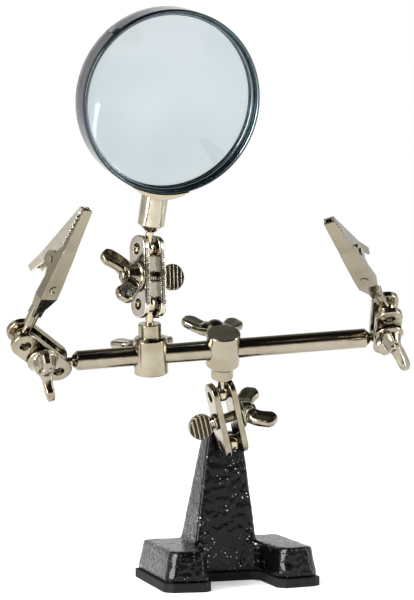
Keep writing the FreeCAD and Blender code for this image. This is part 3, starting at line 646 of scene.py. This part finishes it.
def make_band(made_of):
    """The rim: a strip bent to a ring with eased edges, its outer end lapped over its start."""
    lens = points("magnifier_lens")
    centre = Vector((lens.min(0) + lens.max(0)) / 2)
    _, axes = np.linalg.eigh(np.cov((lens - lens.mean(0)).T))
    x = Vector(axes[:, 0])
    z = (centre - Vector(joints["magnifier_spin"]["pos_m"])).normalized()
    x = (x - z * x.dot(z)).normalized()
    if x.y > 0:
        x = -x
    y = z.cross(x)
    place = axes_at(y, z, x, centre)

    cloud = points("magnifier_band") - np.array(centre)
    outer = float(np.hypot(cloud @ np.array(y), cloud @ np.array(z)).max())
    half = float((cloud @ np.array(x)).max())
    inner, ease = outer - RIM_WALL, RIM_EASE
    profile = [
        (inner, -half + ease), (inner + ease, -half), (outer - ease, -half), (outer, -half + ease),
        (outer, -half / 2), (outer, 0.0), (outer, half / 2),
        (outer, half - ease), (outer - ease, half), (inner + ease, half), (inner, half - ease), (inner, 0.0),
    ]
    segments = 192
    ring = revolve(profile, segments, closed=True)
    verts, faces = moved(joined(ring, lap_strip(outer, half)), place)
    facing_lens = [1.0 if r == inner else 0.0 for r, _ in profile for _ in range(segments)]
    facing_lens += [0.0] * (len(verts) - len(facing_lens))
    thing = piece("magnifier_band", "_rolled", verts, faces, made_of, inside=facing_lens)
    thing.data.set_sharp_from_angle(angle=math.radians(50))


# ---------------------------------------------------------------- finishes

nickel = plated("nickel_plate", WARM, TARNISH, 0.10, 0.24)
clip_plate = clip_plated("clip_plate", (0.185, 0.165, 0.122), (0.13, 0.106, 0.068))
# Ball studs: warmer than the nickel, and lighter as painted light so that they don't read as shaded in their
# seats, with little painted shade.
ball_plate = plated("ball_plate", (0.42, 0.365, 0.265), (0.26, 0.205, 0.125), 0.06, 0.14, recess_shading=0.3)
finish_of = {
    "nickel": nickel,
    "bright_nickel": plated("bright_nickel_plate", (0.46, 0.435, 0.375), (0.28, 0.24, 0.17), 0.06, 0.16),
    "spring_steel": plated("spring_wire", (0.22, 0.205, 0.17), (0.11, 0.09, 0.06), 0.18, 0.35, ease=0.1 * MM),
    "band_steel": plated("dark_chrome", (0.042, 0.050, 0.053), (0.026, 0.038, 0.052), 0.08, 0.2, edge=0.1,
                         ease=0.12 * MM, recess_shading=0.15, inside=(0.30, 0.40, 0.43)),
    "black_hammertone": hammertone("hammertone_paint"),
    "rubber": rubber("mat_rubber"),
    "lens_glass": glass("lens_glass"),
}
handle_axis = joints["magnifier_spin"]["axis"]
ring_wire = plated("ring_wire", (0.12, 0.14, 0.15), (0.05, 0.08, 0.10), 0.12, 0.25, recess_shading=0.3)
own_finish = {
    "cross_rod": plated("rod_plate", (0.27, 0.242, 0.188), (0.18, 0.148, 0.098), 0.07, 0.16, pits=0.12),
    "rod_block": turned_plated("rod_block_plate", joints["rod_block_spin"]["axis"]),
    "lens_block": turned_plated("lens_block_plate", joints["lens_stud_spin"]["axis"]),
    "magnifier_ferrule": plated("ferrule_plate", (0.34, 0.31, 0.24), TARNISH, 0.07, 0.15, axis=handle_axis),
    "magnifier_saddle": plated("saddle_plate", (0.33, 0.29, 0.215), (0.24, 0.195, 0.125), 0.12, 0.24,
                               recess_shading=0.3),
    "magnifier_ring_front": ring_wire,
    "magnifier_ring_back": ring_wire,
    "left_clip_fixed_jaw": clip_plate,
    # Painted light: the left clip's moving jaw gets a lighter copy of the clip plate, so that it reads as lit; the
    # right clip's moving jaw keeps the plain one.
    "left_clip_moving_jaw": clip_plated("painted_light_clip_plate", (0.42, 0.395, 0.33), (0.30, 0.26, 0.19)),
    "right_clip_fixed_jaw": clip_plate,
    "right_clip_moving_jaw": clip_plate,
}
for name in nodes:
    if name.endswith("_ball_stud"):
        own_finish[name] = ball_plate
for name, thing in nodes.items():
    chosen = own_finish.get(name) or finish_of[slot_of[name]]
    if not thing.data.materials:
        thing.data.materials.append(chosen)
    for place in thing.material_slots:
        place.material = chosen

for link_name in ("base", "lens", "left", "right"):
    make_wing_nut(link_name, nickel)
    make_clamp_screw(link_name, nickel)
for block_name in ("rod_block", "lens_block"):
    make_wing_screw(block_name, nickel)
make_casting(finish_of["black_hammertone"])
make_band(finish_of["band_steel"])


# ---------------------------------------------------------------- floor, light and camera

STRIP_HEIGHT = 0.54
SIDE_BOX_STRENGTH = 1.6


def make_floor():
    """A white floor, wide enough that its edge is lost at the horizon."""
    mesh = bpy.data.meshes.new("floor")
    reach = 30.0
    corners = [(-reach, -reach, 0), (reach, -reach, 0), (reach, reach, 0), (-reach, reach, 0)]
    mesh.from_pydata(corners, [], [[0, 1, 2, 3]])
    thing = bpy.data.objects.new("floor", mesh)
    bpy.context.scene.collection.objects.link(thing)
    made, graph, shader, place = material("floor_paint")
    grain = graph.noise(place, 40.0, 3.0)
    colour = graph.mix(grain, shade((0.88, 0.88, 0.88)), shade((0.92, 0.92, 0.92)))
    graph.feed(shader.inputs["Base Color"], colour)
    shader.inputs["Roughness"].default_value = 0.9
    mesh.materials.append(made)


def make_world():
    """A white studio, pale at the horizon and greyer in front, dark overhead, with a bright box each side."""
    world = bpy.data.worlds.new("studio")
    bpy.context.scene.world = world
    world.use_nodes = True
    graph = Graph(world.node_tree)
    way = graph.node("ShaderNodeTexCoord").outputs["Generated"]
    backward = graph.dot(way, BACK)
    front_edge, back_edge = math.radians(6), math.radians(60)
    above_front = graph.dot(way, (0, math.sin(front_edge), math.cos(front_edge)))
    before_back = graph.dot(way, (0, -math.cos(back_edge), math.sin(back_edge)))
    overhead = graph.math("MULTIPLY", graph.spread(above_front, 0.0, 0.08, smooth=True),
                          graph.spread(before_back, 0.0, 0.30, smooth=True))
    overhead_level = graph.spread(backward, 0.1, 0.6, 0.02, 0.30)
    horizon_level = graph.spread(backward, -0.45, 0.25, 0.26, 1.0, smooth=True)
    level = graph.spread(overhead, 0.0, 1.0, horizon_level, overhead_level)
    for direction, near, far in (((-0.86, -0.18, 0.48), 0.80, 0.90), ((0.88, -0.28, 0.38), 0.88, 0.95)):
        box = graph.spread(graph.dot(way, direction), near, far, 0.0, SIDE_BOX_STRENGTH, smooth=True)
        level = graph.math("MAXIMUM", level, box)
    background = graph.node("ShaderNodeBackground", {"Color": (1, 1, 1, 1), "Strength": level})
    output = graph.node("ShaderNodeOutputWorld")
    graph.tree.links.new(background.outputs[0], output.inputs["Surface"])


def lamp_object(name, kind, power, glossy=True):
    """A lamp that the camera doesn't see, and its data. Shiny pieces reflect it if glossy is set."""
    lamp = bpy.data.lights.new(name, kind)
    lamp.energy = power
    thing = bpy.data.objects.new(name, lamp)
    bpy.context.scene.collection.objects.link(thing)
    thing.visible_camera = False
    thing.visible_glossy = glossy
    return thing, lamp


def area(name, place, target, size, power, glossy=True):
    """A round soft lamp that faces its target."""
    thing, lamp = lamp_object(name, "AREA", power, glossy)
    lamp.shape = "DISK"
    lamp.size = size
    thing.location = place
    thing.rotation_euler = (Vector(target) - Vector(place)).to_track_quat("-Z", "Y").to_euler()
    return lamp


def strip(name, x, y, wide, radiance):
    """A tall narrow softbox standing on the floor, facing the tool."""
    middle = STRIP_HEIGHT / 2
    lamp = area(name, (x, y, middle), (0, -0.03, middle), wide, radiance * math.pi * wide * STRIP_HEIGHT)
    lamp.shape = "RECTANGLE"
    lamp.size_y = STRIP_HEIGHT


def make_sun():
    """Even soft light from above that keeps the whole floor white."""
    thing, lamp = lamp_object("overhead", "SUN", 2.35, glossy=False)
    lamp.angle = math.radians(100)
    thing.rotation_euler = (math.radians(12), math.radians(-10), 0)


def make_camera():
    """A long lens in front of the tool, to its left and a little higher than its rod."""
    data = bpy.data.cameras.new("camera")
    data.sensor_fit = "AUTO"
    data.sensor_width = 36.0
    data.lens = 102.65
    data.clip_start = 0.01
    data.clip_end = 100.0
    thing = bpy.data.objects.new("camera", data)
    bpy.context.scene.collection.objects.link(thing)
    thing.location = (-0.1851, -0.5846, 0.0922)
    thing.rotation_euler = (math.radians(90.637), 0.0, math.radians(-17.21))
    bpy.context.scene.camera = thing


make_floor()
make_world()
make_sun()
area("top_light", (-0.3, -0.35, 1.3), (0, 0, 0.05), size=0.9, power=5.0, glossy=False)
area("left_light", (-1.1, -0.5, 0.6), (0, 0, 0.08), size=0.4, power=4.0)
area("right_light", (0.9, -0.8, 0.5), (0, 0, 0.08), size=0.35, power=1.6)
strip("left_strip", x=-0.60, y=-0.26, wide=0.16, radiance=26.0)
strip("right_strip", x=0.56, y=-0.30, wide=0.06, radiance=24.0)
make_camera()
bpy.context.scene.view_settings.view_transform = "Standard"
bpy.context.scene.view_settings.look = "None"
